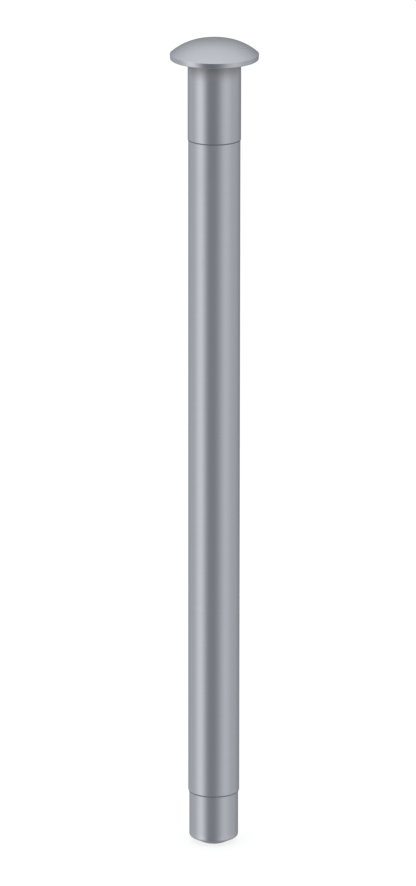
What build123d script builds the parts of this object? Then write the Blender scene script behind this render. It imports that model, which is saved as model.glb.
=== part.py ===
from build123d import *
import math
import os

# Plug-in safety bollard, in millimetres.  The origin is on the post axis at ground level: the post
# stands above it, the spigot that drops into a ground sleeve hangs below it.  +Z is up and +Y is
# the rear, where every lock part and fastener is reached.

# ---- driving dimensions -------------------------------------------------------------------------
POST_RADIUS = 76.1 / 2
POST_WALL = 1.5
BAND_BOTTOM = 1000.0
HEAD_BOTTOM = 1118.2
HEAD_TOP = 1147.6
HEAD_RADIUS = 64.8
SPIGOT_RADIUS = 72.9 / 2
SPIGOT_WALL = 3.0
SPIGOT_LENGTH = 67.2
SPIGOT_INSIDE_TOP = 180.0
HOLE_PLAY = 0.1
SLIP_FIT = 0.05
CAP_ROUND_SHARE = 0.7

# ---- post, band and seals -----------------------------------------------------------------------
POST_BORE = POST_RADIUS - POST_WALL
POST_END_ROUND = 1.3
GASKET_HEIGHT = 1.4
GASKET_RADIUS = 37.3
GASKET_FACE_RADIUS = 36.6
GASKET_LIP_BOTTOM = 0.5
GROOVE_DEPTH = 0.7
GROOVE_TOP = 4.0
BAND_WALL = 0.8
BAND_TOP_GAP = 0.3
SEAL_HEIGHT = 1.6
SEAL_RADIUS = 38.7

# ---- mushroom head ------------------------------------------------------------------------------
HEAD_WALL = 2.5
CROWN_RADIUS = 170.0
KNUCKLE_RADIUS = 84.8
EDGE_SLOPE = 40.9
EDGE_ROUND = 1.5
EDGE_HEIGHT = 7.1
RIM_TAPER = 0.5
RIM_FOOT_ROUND = 1.2
BASE_THICKNESS = 3.0
BASE_SKIRT = 30.0
STUD_RADIUS = 6.0
STUD_BOSS_RADIUS = 9.0
STUD_LENGTH = 17.0
HEAD_NUT_FLATS = 19.0
HEAD_NUT_HEIGHT = 10.0
HEAD_WASHER_RADIUS = 12.0
HEAD_WASHER_HEIGHT = 2.5
SCREW_RADIUS = 3.0
SCREW_HEIGHT = 1103.0
SCREW_ANGLES = (52.0, 128.0)
SCREW_HEAD_RADIUS = 5.5
SCREW_HEAD_HEIGHT = 3.0
SCREW_TAIL = 3.0

# ---- spigot -------------------------------------------------------------------------------------
SPIGOT_BORE = SPIGOT_RADIUS - SPIGOT_WALL
NOSE_CORNER = 4.4
NOSE_SLOPE = 27.5
NOSE_FLAT_RADIUS = 19.3
NOSE_WALL = 3.0
NOSE_SKIRT = 12.0
DRAIN_RADIUS = 6.0
RIVET_RADIUS = 3.0
RIVET_HEAD_RADIUS = 5.0
RIVET_HEAD_HEIGHT = 2.0
RIVET_TAIL = 1.5
RIVET_ANGLES = (50.0, 130.0)
RIVET_HEIGHTS = (24.0, 150.0)

# ---- lock barrel and key spindle, both on one axis along Y ---------------------------------------
LOCK_HEIGHT = 70.0
BARREL_RADIUS = 16.0
BARREL_BORE = 13.0
BARREL_BACK = 41.0
BARREL_FRONT = 16.0
WEB_BACK = 22.0
FLANGE_RADIUS = 20.0
FLANGE_ROUND = 1.0
NUT_FLATS = 38.0
NUT_FRONT = 18.0
NUT_BACK = 24.0
SADDLE_RADIUS = 21.0
JOURNAL_RADIUS = 7.95
CLIP_FRONT = 22.4
CLIP_THICKNESS = 1.0
CLIP_DEPTH = 0.95
CLIP_RADIUS = 11.0
JOURNAL_BACK = 24.5
KEY_TIP = 33.5
KEY_CORNER_RADIUS = 7.6
KEY_CORNER_ROUND = 1.0
DISC_RADIUS = 13.0
DISC_FRONT = 9.0
DISC_BACK = 15.1
CRANK_RADIUS = 9.0
CRANK_START = -45.0
CRANK_PIN_RADIUS = 3.0
CRANK_PIN_FRONT = 0.3
QUARTER_TURN = 90.0
STOP_PIN_RADIUS = 1.8
STOP_PITCH = 11.3
STOP_ANGLE = 180.0
STOP_FRONT = 10.5
STOP_BACK = 19.0
STOP_PLAY = 1.5
NOTCH_RADIUS = 9.2
THRUST_RADIUS = 9.2
THRUST_FRONT = 15.4

# ---- lift carrier, locking bolt and their guides ------------------------------------------------
CARRIER_HALF_WIDTH = 15.1
CARRIER_FRONT = 0.2
CARRIER_BACK = 6.2
CARRIER_BOTTOM = -2.0
CARRIER_TOP = 74.0
CRANK_SLOT_PLAY = 0.4
CAM_HALF_THICKNESS = 3.0
CAM_MARGIN = 5.0
CAM_TOP = 6.0
BOLT_HEIGHT = -20.0
BOLT_RADIUS = 8.0
BOLT_FRONT = -12.0
BOLT_BACK = 35.2
BOLT_CHAMFER = 1.0
BOLT_THROW = 8.0
FORK_HALF_WIDTH = 3.4
FORK_BACK = 10.5
CROSS_PIN_RADIUS = 2.5
CROSS_PIN_PLACE = -6.0
CROSS_PIN_HALF_LENGTH = 7.2
CROSS_PIN_PLAY = 0.2
BUSH_RADIUS = 11.0
BUSH_FIT = 0.06
BUSH_FRONT = 14.0
BUSH_BACK = 34.6
BUSH_FLANGE_RADIUS = 14.0
BUSH_FLANGE_FRONT = 26.5
GUIDE_FRONT = -5.2
GUIDE_BACK = -0.2
GUIDE_BOTTOM = 24.0
GUIDE_TOP = 104.0
RAIL_INSIDE = 15.5
RAIL_OUTSIDE = 19.0

# ---- dust cover ---------------------------------------------------------------------------------
COVER_PIVOT_HEIGHT = 97.0
COVER_RADIUS = 17.0
COVER_NECK_RADIUS = 6.5
COVER_FRONT = 41.5
COVER_BACK = 43.5
PIVOT_RADIUS = 2.5
PIVOT_FIT = 0.07
PIVOT_TAIL = 2.5
PIVOT_BOSS_RADIUS = 5.0
PIVOT_BOSS_BACK = 41.2
PIVOT_HEAD_RADIUS = 4.5
PIVOT_HEAD_FRONT = 43.8
PIVOT_HEAD_BACK = 45.4
TAB_RADIUS = 4.0

# ---- sizes that follow from the ones above ------------------------------------------------------
CRANK_LIFT = 2 * CRANK_RADIUS * math.sin(math.radians(QUARTER_TURN / 2))
BAND_BORE = POST_RADIUS + SLIP_FIT
BAND_RADIUS = BAND_BORE + BAND_WALL
HEAD_EDGE = HEAD_BOTTOM + EDGE_HEIGHT
BASE_TOP = HEAD_BOTTOM + BASE_THICKNESS
REAR = 90.0


# ---- shared shapes ------------------------------------------------------------------------------
def upright(radius, low, high):
    """A round bar on the post axis."""
    return Pos(0, 0, low) * Cylinder(radius, high - low, align=(Align.CENTER, Align.CENTER, Align.MIN))


def crosswise(radius, front, back, height, side=0.0):
    """A round bar along +Y at a given height."""
    bar = Cylinder(radius, back - front, align=(Align.CENTER, Align.CENTER, Align.MIN))
    return Pos(side, front, height) * Rot(-90, 0, 0) * bar


def radial(radius, start, end, angle, height):
    """A round bar that points out from the post axis, at an angle counted from +X."""
    bar = Cylinder(radius, end - start, align=(Align.CENTER, Align.CENTER, Align.MIN))
    return Pos(0, 0, height) * Rot(0, 0, angle) * Rot(0, 90, 0) * Pos(0, 0, start) * bar


def block(x_low, x_high, y_low, y_high, z_low, z_high):
    """A box given by its faces."""
    solid = Box(x_high - x_low, y_high - y_low, z_high - z_low, align=(Align.MIN, Align.MIN, Align.MIN))
    return Pos(x_low, y_low, z_low) * solid


def turned(outline):
    """A full turn about the post axis of a closed outline of radius and height."""
    return revolve(Plane.XZ * make_face(outline), Axis.Z)


def pierced(shape, radius, places):
    """The shape with round radial holes at each (angle, height)."""
    for angle, height in places:
        shape = shape - radial(radius, 0, 2 * POST_RADIUS, angle, height)
    return shape


def tube(outer, inner, low, high):
    """A plain ring or tube on the post axis."""
    return upright(outer, low, high) - upright(inner, low, high)


def domed(radius, height, edge_round):
    """A round head from z = 0 upwards, its top edge rounded."""
    head = Cylinder(radius, height, align=(Align.CENTER, Align.CENTER, Align.MIN))
    return fillet(head.edges().sort_by(Axis.Z)[-1], edge_round)


def obround(place, length, radius, thickness):
    """A round-ended bar centred on a plane, for cutting a slot."""
    return place * extrude(SlotCenterToCenter(length, 2 * radius), thickness / 2, both=True)


def button_fasteners(shank, head_radius, head_height, seat, depth, places):
    """Domed-head fasteners on a round wall, their heads shaped to it, as separate solids."""
    wall = upright(seat, -POST_RADIUS, HEAD_TOP)
    solids = []
    for angle, height in places:
        cap = domed(head_radius, head_radius + head_height, CAP_ROUND_SHARE * head_height)
        turned_out = Pos(0, 0, height) * Rot(0, 0, angle) * Rot(0, 90, 0)
        cap = turned_out * Pos(0, 0, seat - head_radius) * cap - wall
        solids.append(cap + radial(shank, seat - depth, seat + head_height / 2, angle, height))
    return Compound(solids)


def at_rivets():
    """The angle and height of each rivet that joins the spigot to the post."""
    return [(angle, height) for height in RIVET_HEIGHTS for angle in RIVET_ANGLES]


def at_screws():
    """The angle and height of each screw that holds the head."""
    return [(angle, SCREW_HEIGHT) for angle in SCREW_ANGLES]


# ---- post ---------------------------------------------------------------------------------------
def post_tube():
    post = tube(POST_RADIUS, POST_BORE, GASKET_HEIGHT, HEAD_BOTTOM)
    foot = post.edges().filter_by(GeomType.CIRCLE).group_by(Axis.Z)[0].sort_by(SortBy.LENGTH)[-1]
    post = fillet(foot, POST_END_ROUND)
    post = post - crosswise(BARREL_RADIUS + HOLE_PLAY, 0, 2 * POST_RADIUS, LOCK_HEIGHT)
    post = pierced(post, RIVET_RADIUS + HOLE_PLAY, at_rivets())
    post = pierced(post, SCREW_RADIUS + HOLE_PLAY, at_screws())
    return pierced(post, PIVOT_RADIUS + HOLE_PLAY, [(REAR, COVER_PIVOT_HEIGHT)])


def shoulder_gasket():
    """The seal under the post: a flat ring clear of the spigot, and a lip that holds in its groove."""
    ring = tube(GASKET_RADIUS, GASKET_FACE_RADIUS, 0, GASKET_HEIGHT)
    lip = tube(GASKET_FACE_RADIUS, SPIGOT_RADIUS - GROOVE_DEPTH, GASKET_LIP_BOTTOM, GASKET_HEIGHT)
    return ring + lip


def band_sleeve():
    sleeve = tube(BAND_RADIUS, BAND_BORE, BAND_BOTTOM, HEAD_BOTTOM - BAND_TOP_GAP)
    return pierced(sleeve, SCREW_RADIUS + HOLE_PLAY, at_screws())


def band_seal():
    return tube(SEAL_RADIUS, POST_RADIUS, BAND_BOTTOM - SEAL_HEIGHT, BAND_BOTTOM)


# ---- head ---------------------------------------------------------------------------------------
def head_arcs(wall):
    """The crown and knuckle arcs of the dome, moved inwards by a wall thickness.

    The crown is a shallow arc on the post axis, and the knuckle a tighter one that leaves it
    smoothly and reaches the rim at the edge slope."""
    slope = math.radians(EDGE_SLOPE)
    rim_end = HEAD_RADIUS - EDGE_ROUND + EDGE_ROUND * math.sin(slope)
    join_sine = (rim_end - KNUCKLE_RADIUS * math.sin(slope)) / (CROWN_RADIUS - KNUCKLE_RADIUS)
    join = math.degrees(math.asin(join_sine))
    knuckle_side = (CROWN_RADIUS - KNUCKLE_RADIUS) * join_sine
    rim_end_height = HEAD_EDGE + EDGE_ROUND * math.cos(slope)
    knuckle_height = rim_end_height - KNUCKLE_RADIUS * math.cos(slope)
    crown_height = knuckle_height - (CROWN_RADIUS - KNUCKLE_RADIUS) * math.cos(math.radians(join))
    end = EDGE_SLOPE
    if wall:
        inner_side = (HEAD_RADIUS - HEAD_WALL - knuckle_side) / (KNUCKLE_RADIUS - wall)
        end = math.degrees(math.asin(inner_side))
    crown = CenterArc((0, crown_height), CROWN_RADIUS - wall, 90, -join)
    knuckle = CenterArc((knuckle_side, knuckle_height), KNUCKLE_RADIUS - wall, 90 - join, join - end)
    return crown, knuckle


def head_dome():
    crown, knuckle = head_arcs(0)
    inner_crown, inner_knuckle = head_arcs(HEAD_WALL)
    edge = CenterArc((HEAD_RADIUS - EDGE_ROUND, HEAD_EDGE), EDGE_ROUND, 90 - EDGE_SLOPE, EDGE_SLOPE - 90)
    foot_radius = HEAD_RADIUS - RIM_TAPER
    foot_centre = (foot_radius - RIM_FOOT_ROUND, HEAD_BOTTOM + RIM_FOOT_ROUND)
    foot = CenterArc(foot_centre, RIM_FOOT_ROUND, 0, -90)
    rim = Line(edge @ 1, foot @ 0)
    inside = Polyline(foot @ 1, (HEAD_RADIUS - HEAD_WALL, HEAD_BOTTOM), inner_knuckle @ 1)
    axis_line = Line(inner_crown @ 0, crown @ 0)
    return turned([crown, knuckle, edge, rim, foot, inside, inner_knuckle, inner_crown, axis_line])


def head_cavity():
    """The space inside the dome, above the base."""
    crown, knuckle = head_arcs(HEAD_WALL)
    floor = Polyline(knuckle @ 1, (HEAD_RADIUS - HEAD_WALL, BASE_TOP), (0, BASE_TOP), crown @ 0)
    return turned([crown, knuckle, floor])


def head_base():
    disc = upright(HEAD_RADIUS - HEAD_WALL - HOLE_PLAY, HEAD_BOTTOM, BASE_TOP)
    skirt = tube(SPIGOT_RADIUS, SPIGOT_BORE, HEAD_BOTTOM - BASE_SKIRT, HEAD_BOTTOM)
    base = disc + skirt - upright(STUD_RADIUS + HOLE_PLAY, HEAD_BOTTOM, BASE_TOP)
    return pierced(base, SCREW_RADIUS + HOLE_PLAY, at_screws())


def head_stud():
    boss = upright(STUD_BOSS_RADIUS, BASE_TOP, HEAD_TOP) & head_cavity()
    return boss + upright(STUD_RADIUS, HEAD_BOTTOM - STUD_LENGTH, BASE_TOP)


def head_washer():
    return tube(HEAD_WASHER_RADIUS, STUD_RADIUS + HOLE_PLAY, HEAD_BOTTOM - HEAD_WASHER_HEIGHT, HEAD_BOTTOM)


def head_nut():
    top = HEAD_BOTTOM - HEAD_WASHER_HEIGHT
    hexagon = RegularPolygon(HEAD_NUT_FLATS / 2, 6, major_radius=False)
    nut = Pos(0, 0, top - HEAD_NUT_HEIGHT) * extrude(hexagon, HEAD_NUT_HEIGHT)
    return nut - upright(STUD_RADIUS, top - HEAD_NUT_HEIGHT, top)


def head_screws():
    depth = BAND_RADIUS - SPIGOT_BORE + SCREW_TAIL
    size = (SCREW_RADIUS, SCREW_HEAD_RADIUS, SCREW_HEAD_HEIGHT)
    return button_fasteners(*size, BAND_RADIUS, depth, at_screws())


# ---- spigot -------------------------------------------------------------------------------------
def spigot_tube():
    spigot = tube(SPIGOT_RADIUS, SPIGOT_BORE, -SPIGOT_LENGTH, SPIGOT_INSIDE_TOP)
    spigot = spigot - tube(POST_RADIUS, SPIGOT_RADIUS - GROOVE_DEPTH, 0, GROOVE_TOP)
    spigot = spigot - crosswise(BARREL_RADIUS + HOLE_PLAY, 0, 2 * POST_RADIUS, LOCK_HEIGHT)
    spigot = spigot - crosswise(BUSH_RADIUS, 0, 2 * POST_RADIUS, BOLT_HEIGHT)
    spigot = pierced(spigot, RIVET_RADIUS + HOLE_PLAY, at_rivets())
    return pierced(spigot, PIVOT_RADIUS + HOLE_PLAY, [(REAR, COVER_PIVOT_HEIGHT)])


def spigot_nose():
    """The end cap: a rounded corner, a cone that leads into the ground sleeve and a drained flat."""
    shoulder = -SPIGOT_LENGTH
    skirt_outer = SPIGOT_BORE - SLIP_FIT
    skirt_inner = skirt_outer - NOSE_WALL
    rise = math.tan(math.radians(NOSE_SLOPE))
    corner = CenterArc((SPIGOT_RADIUS - NOSE_CORNER, shoulder), NOSE_CORNER, 0, NOSE_SLOPE - 90)
    cone_end = corner @ 1
    flat = cone_end.Y - (cone_end.X - NOSE_FLAT_RADIUS) * rise
    wall_up = NOSE_WALL / math.cos(math.radians(NOSE_SLOPE))
    inner_cone_low = NOSE_FLAT_RADIUS - (wall_up - NOSE_WALL) / rise
    inner_cone_high = flat + wall_up + (skirt_inner - NOSE_FLAT_RADIUS) * rise
    rest = Polyline(
        cone_end,
        (NOSE_FLAT_RADIUS, flat),
        (DRAIN_RADIUS, flat),
        (DRAIN_RADIUS, flat + NOSE_WALL),
        (inner_cone_low, flat + NOSE_WALL),
        (skirt_inner, inner_cone_high),
        (skirt_inner, shoulder + NOSE_SKIRT),
        (skirt_outer, shoulder + NOSE_SKIRT),
        (skirt_outer, shoulder),
        corner @ 0,
    )
    return turned([corner, rest])


def spigot_rivets():
    depth = POST_RADIUS - SPIGOT_BORE + RIVET_TAIL
    size = (RIVET_RADIUS, RIVET_HEAD_RADIUS, RIVET_HEAD_HEIGHT)
    return button_fasteners(*size, POST_RADIUS, depth, at_rivets())


# ---- lock barrel and what holds it --------------------------------------------------------------
def lock_barrel():
    """The flanged bush that guides the key, its flange shaped to the post."""
    reach = BARREL_BACK - NUT_BACK
    flange = Pos(0, NUT_BACK, LOCK_HEIGHT) * Rot(-90, 0, 0) * domed(FLANGE_RADIUS, reach, FLANGE_ROUND)
    flange = flange - upright(POST_RADIUS, 0, 2 * LOCK_HEIGHT)
    barrel = flange + crosswise(BARREL_RADIUS, BARREL_FRONT, BARREL_BACK, LOCK_HEIGHT)
    barrel = barrel - crosswise(BARREL_BORE, WEB_BACK, BARREL_BACK, LOCK_HEIGHT)
    barrel = barrel - crosswise(JOURNAL_RADIUS + SLIP_FIT, BARREL_FRONT, WEB_BACK, LOCK_HEIGHT)
    return barrel - stop_pin()


def barrel_saddle():
    bore = upright(SPIGOT_BORE, 0, 2 * LOCK_HEIGHT)
    saddle = crosswise(SADDLE_RADIUS, NUT_BACK, POST_RADIUS, LOCK_HEIGHT) & bore
    return saddle - crosswise(BARREL_RADIUS + HOLE_PLAY, 0, POST_RADIUS, LOCK_HEIGHT)


def barrel_nut():
    hexagon = RegularPolygon(NUT_FLATS / 2, 6, major_radius=False)
    nut = Pos(0, NUT_FRONT, LOCK_HEIGHT) * Rot(-90, 0, 0) * extrude(hexagon, NUT_BACK - NUT_FRONT)
    return nut - crosswise(BARREL_RADIUS, NUT_FRONT, NUT_BACK, LOCK_HEIGHT)


def stop_pin():
    """The pin that the crank disc turns against at each end of its quarter turn."""
    side = STOP_PITCH * math.cos(math.radians(STOP_ANGLE))
    height = LOCK_HEIGHT + STOP_PITCH * math.sin(math.radians(STOP_ANGLE))
    return crosswise(STOP_PIN_RADIUS, STOP_FRONT, STOP_BACK, height, side)


def thrust_washer():
    ring = crosswise(THRUST_RADIUS, THRUST_FRONT, BARREL_FRONT, LOCK_HEIGHT)
    return ring - crosswise(JOURNAL_RADIUS + HOLE_PLAY, THRUST_FRONT, BARREL_FRONT, LOCK_HEIGHT)


# ---- key spindle --------------------------------------------------------------------------------
def stop_notch():
    """The stretch of the disc's rim that is cut away for the stop pin and the quarter turn."""
    half_pin = math.degrees(STOP_PIN_RADIUS / STOP_PITCH) + STOP_PLAY
    first = STOP_ANGLE - QUARTER_TURN - half_pin
    last = STOP_ANGLE + half_pin
    reach = 2 * DISC_RADIUS
    corners = [(0, 0)]
    for angle in (first, (first + last) / 2, last):
        corners.append((reach * math.cos(math.radians(angle)), reach * math.sin(math.radians(angle))))
    wedge = extrude(Plane.XZ * Polygon(*corners, align=None), DISC_BACK - DISC_FRONT)
    wedge = Pos(0, DISC_BACK, LOCK_HEIGHT) * wedge
    return wedge - crosswise(NOTCH_RADIUS, DISC_FRONT, DISC_BACK, LOCK_HEIGHT)


def crank_pin_place():
    """Sideways place and height of the crank pin at rest."""
    angle = math.radians(CRANK_START)
    return CRANK_RADIUS * math.cos(angle), LOCK_HEIGHT + CRANK_RADIUS * math.sin(angle)


def key_spindle():
    """The three-cornered key head, its journal and the crank disc with its pin, in one piece."""
    corner_shape = fillet(RegularPolygon(KEY_CORNER_RADIUS, 3).vertices(), KEY_CORNER_ROUND)
    key = Pos(0, JOURNAL_BACK, LOCK_HEIGHT) * Rot(-90, 0, 0) * extrude(corner_shape, KEY_TIP - JOURNAL_BACK)
    journal = crosswise(JOURNAL_RADIUS, DISC_BACK, JOURNAL_BACK, LOCK_HEIGHT)
    groove = crosswise(JOURNAL_RADIUS, CLIP_FRONT, CLIP_FRONT + CLIP_THICKNESS, LOCK_HEIGHT)
    groove = groove - crosswise(JOURNAL_RADIUS - CLIP_DEPTH, CLIP_FRONT, JOURNAL_BACK, LOCK_HEIGHT)
    disc = crosswise(DISC_RADIUS, DISC_FRONT, DISC_BACK, LOCK_HEIGHT) - stop_notch()
    side, height = crank_pin_place()
    pin = crosswise(CRANK_PIN_RADIUS, CRANK_PIN_FRONT, DISC_FRONT, height, side)
    return key + (journal - groove) + disc + pin


def spindle_clip():
    """The open ring in the spindle's groove."""
    back = CLIP_FRONT + CLIP_THICKNESS
    inner = JOURNAL_RADIUS - CLIP_DEPTH
    ring = crosswise(CLIP_RADIUS, CLIP_FRONT, back, LOCK_HEIGHT)
    ring = ring - crosswise(inner, CLIP_FRONT, back, LOCK_HEIGHT)
    half_gap = inner / 2
    return ring - block(-half_gap, half_gap, CLIP_FRONT, back, LOCK_HEIGHT - CLIP_RADIUS, LOCK_HEIGHT)


# ---- lift carrier and its guide -----------------------------------------------------------------
def lift_carrier():
    """The plate that the crank lifts, with the cam plate whose sloping slot drives the bolt."""
    width = CARRIER_HALF_WIDTH
    plate = block(-width, width, CARRIER_FRONT, CARRIER_BACK, CARRIER_BOTTOM, CARRIER_TOP)
    side, height = crank_pin_place()
    slot_side = (side + CRANK_RADIUS) / 2
    slot_depth = (CARRIER_FRONT + CARRIER_BACK) / 2
    slot_plane = Plane(origin=(slot_side, slot_depth, height), x_dir=(1, 0, 0), z_dir=(0, 1, 0))
    slot_length = CRANK_RADIUS - side + CRANK_SLOT_PLAY
    slot = obround(slot_plane, slot_length, CRANK_PIN_RADIUS + CRANK_SLOT_PLAY, 2 * CARRIER_BACK)
    margin = CROSS_PIN_RADIUS + CROSS_PIN_PLAY + CAM_MARGIN
    cam_front = CROSS_PIN_PLACE - margin
    cam_back = CROSS_PIN_PLACE + BOLT_THROW + margin
    cam_low = BOLT_HEIGHT - CRANK_LIFT - margin
    cam = block(-CAM_HALF_THICKNESS, CAM_HALF_THICKNESS, cam_front, cam_back, cam_low, CAM_TOP)
    middle = (0, CROSS_PIN_PLACE + BOLT_THROW / 2, BOLT_HEIGHT - CRANK_LIFT / 2)
    cam_plane = Plane(origin=middle, x_dir=(0, BOLT_THROW, -CRANK_LIFT), z_dir=(1, 0, 0))
    cam_length = math.hypot(BOLT_THROW, CRANK_LIFT)
    cam_slot = obround(cam_plane, cam_length, CROSS_PIN_RADIUS + CROSS_PIN_PLAY, 4 * CAM_HALF_THICKNESS)
    return (plate - slot) + (cam - cam_slot)


def guide_plate():
    """The plate across the spigot that backs the carrier, with a rail along each side."""
    bore = upright(SPIGOT_BORE, GUIDE_BOTTOM, GUIDE_TOP)
    guide = block(-SPIGOT_BORE, SPIGOT_BORE, GUIDE_FRONT, GUIDE_BACK, GUIDE_BOTTOM, GUIDE_TOP) & bore
    for low, high in ((-RAIL_OUTSIDE, -RAIL_INSIDE), (RAIL_INSIDE, RAIL_OUTSIDE)):
        guide = guide + block(low, high, GUIDE_BACK, CARRIER_BACK, GUIDE_BOTTOM, GUIDE_TOP)
    return guide


# ---- locking bolt -------------------------------------------------------------------------------
def bolt_cross_pin():
    pin = Cylinder(CROSS_PIN_RADIUS, 2 * CROSS_PIN_HALF_LENGTH)
    return Pos(0, CROSS_PIN_PLACE, BOLT_HEIGHT) * Rot(0, 90, 0) * pin


def lock_bolt():
    """The round bolt, forked at its inner end round the cam plate."""
    bar = Cylinder(BOLT_RADIUS, BOLT_BACK - BOLT_FRONT, align=(Align.CENTER, Align.CENTER, Align.MIN))
    bar = chamfer(bar.edges().sort_by(Axis.Z)[-1], BOLT_CHAMFER)
    bolt = Pos(0, BOLT_FRONT, BOLT_HEIGHT) * Rot(-90, 0, 0) * bar
    low = BOLT_HEIGHT - BOLT_RADIUS
    high = BOLT_HEIGHT + BOLT_RADIUS
    bolt = bolt - block(-FORK_HALF_WIDTH, FORK_HALF_WIDTH, BOLT_FRONT, FORK_BACK, low, high)
    return bolt - bolt_cross_pin()


def bolt_bush():
    """The flanged guide of the bolt, its flat end within the spigot's outline."""
    low = BOLT_HEIGHT - BUSH_FLANGE_RADIUS
    high = BOLT_HEIGHT + BUSH_FLANGE_RADIUS
    body = crosswise(BUSH_RADIUS, BUSH_FRONT, BUSH_BACK, BOLT_HEIGHT)
    flange = crosswise(BUSH_FLANGE_RADIUS, BUSH_FLANGE_FRONT, POST_RADIUS, BOLT_HEIGHT)
    flange = flange & upright(SPIGOT_BORE, low, high)
    return body + flange - crosswise(BOLT_RADIUS + BUSH_FIT, 0, POST_RADIUS, BOLT_HEIGHT)


# ---- dust cover ---------------------------------------------------------------------------------
def dust_cover():
    """The drop-shaped cover that hangs over the keyhole and swings aside about the rivet above it."""
    rise = (COVER_RADIUS - COVER_NECK_RADIUS) / (COVER_PIVOT_HEIGHT - LOCK_HEIGHT)
    level = math.sqrt(1 - rise**2)
    low_corner = (COVER_RADIUS * level, LOCK_HEIGHT + COVER_RADIUS * rise)
    high_corner = (COVER_NECK_RADIUS * level, COVER_PIVOT_HEIGHT + COVER_NECK_RADIUS * rise)
    corners = [low_corner, high_corner, (-high_corner[0], high_corner[1]), (-low_corner[0], low_corner[1])]
    cover = extrude(Plane.XZ * Polygon(*corners, align=None), COVER_FRONT - COVER_BACK)
    cover = Pos(0, COVER_FRONT, 0) * cover
    cover = cover + crosswise(COVER_RADIUS, COVER_FRONT, COVER_BACK, LOCK_HEIGHT)
    cover = cover + crosswise(COVER_NECK_RADIUS, COVER_FRONT, COVER_BACK, COVER_PIVOT_HEIGHT)
    cover = cover + crosswise(TAB_RADIUS, COVER_FRONT, COVER_BACK, LOCK_HEIGHT - COVER_RADIUS)
    return cover - crosswise(PIVOT_RADIUS + PIVOT_FIT, COVER_FRONT, COVER_BACK, COVER_PIVOT_HEIGHT)


def cover_rivet():
    """The shouldered rivet that the cover swings on."""
    boss = crosswise(PIVOT_BOSS_RADIUS, SPIGOT_BORE, PIVOT_BOSS_BACK, COVER_PIVOT_HEIGHT)
    boss = boss - upright(POST_RADIUS, LOCK_HEIGHT, 2 * LOCK_HEIGHT)
    shank = crosswise(PIVOT_RADIUS, SPIGOT_BORE - PIVOT_TAIL, PIVOT_HEAD_FRONT, COVER_PIVOT_HEIGHT)
    head_height = PIVOT_HEAD_BACK - PIVOT_HEAD_FRONT
    cap = Rot(-90, 0, 0) * domed(PIVOT_HEAD_RADIUS, head_height, CAP_ROUND_SHARE * head_height)
    return boss + shank + Pos(0, PIVOT_HEAD_FRONT, COVER_PIVOT_HEIGHT) * cap


SUB_PARTS = (
    post_tube,
    shoulder_gasket,
    band_sleeve,
    band_seal,
    head_dome,
    head_base,
    head_stud,
    head_washer,
    head_nut,
    head_screws,
    spigot_tube,
    spigot_nose,
    spigot_rivets,
    lock_barrel,
    barrel_saddle,
    barrel_nut,
    stop_pin,
    thrust_washer,
    key_spindle,
    spindle_clip,
    lift_carrier,
    guide_plate,
    lock_bolt,
    bolt_cross_pin,
    bolt_bush,
    dust_cover,
    cover_rivet,
)

os.makedirs("parts", exist_ok=True)
for sub_part in SUB_PARTS:
    export_step(sub_part(), f"parts/{sub_part.__name__}.step")
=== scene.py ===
"""Looks of a plug-in safety bollard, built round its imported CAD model.

Lengths are metres in the model's own frame: the origin is on the post axis at ground level, +Z is up,
-Y is the front and +Y the rear, where the lock and every fastener are.
"""

import logging
import math
from dataclasses import dataclass
from enum import Enum
from typing import Callable, Optional, Sequence, Union

import bmesh
import bpy
import numpy as np
from mathutils import Matrix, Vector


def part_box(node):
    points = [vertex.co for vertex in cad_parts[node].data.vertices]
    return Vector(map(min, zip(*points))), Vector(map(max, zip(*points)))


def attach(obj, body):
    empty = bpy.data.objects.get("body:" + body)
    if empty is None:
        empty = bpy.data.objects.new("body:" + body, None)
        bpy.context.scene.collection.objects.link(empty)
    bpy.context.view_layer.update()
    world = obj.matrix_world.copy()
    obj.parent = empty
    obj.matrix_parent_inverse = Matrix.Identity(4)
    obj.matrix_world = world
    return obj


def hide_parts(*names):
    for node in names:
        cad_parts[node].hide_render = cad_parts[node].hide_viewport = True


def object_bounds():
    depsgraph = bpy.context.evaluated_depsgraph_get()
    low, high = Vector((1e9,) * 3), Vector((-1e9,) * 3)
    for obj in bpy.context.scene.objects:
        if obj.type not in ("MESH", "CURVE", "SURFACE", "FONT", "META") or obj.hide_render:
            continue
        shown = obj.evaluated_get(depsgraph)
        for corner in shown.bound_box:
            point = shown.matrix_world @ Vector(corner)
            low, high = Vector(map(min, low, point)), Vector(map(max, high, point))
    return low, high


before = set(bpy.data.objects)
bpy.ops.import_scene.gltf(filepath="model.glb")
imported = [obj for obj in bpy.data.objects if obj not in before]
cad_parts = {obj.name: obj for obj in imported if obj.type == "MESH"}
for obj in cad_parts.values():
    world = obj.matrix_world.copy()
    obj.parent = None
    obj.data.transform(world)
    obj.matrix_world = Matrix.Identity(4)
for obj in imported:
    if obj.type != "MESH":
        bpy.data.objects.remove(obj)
cad_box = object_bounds()

logging.basicConfig(level=logging.INFO, format="%(name)s: %(message)s")
log = logging.getLogger("bollard")

MM = 0.001
SEGMENTS = 240
BOSS_SEGMENTS = 72
WELD = 1e-7
SPIGOT_WALL = 3.0 * MM
# Painted shade under the head: how far below the dome it is full, and over what reach it fades.
PAINTED_SHADE_GAP = 5.0 * MM
PAINTED_SHADE_REACH = 25.0 * MM
WEAR_REACH = 9.0 * MM
SHARP_ANGLE = 32.0
REAR = 90.0
POST = "post"
COVER = "cover"


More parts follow.
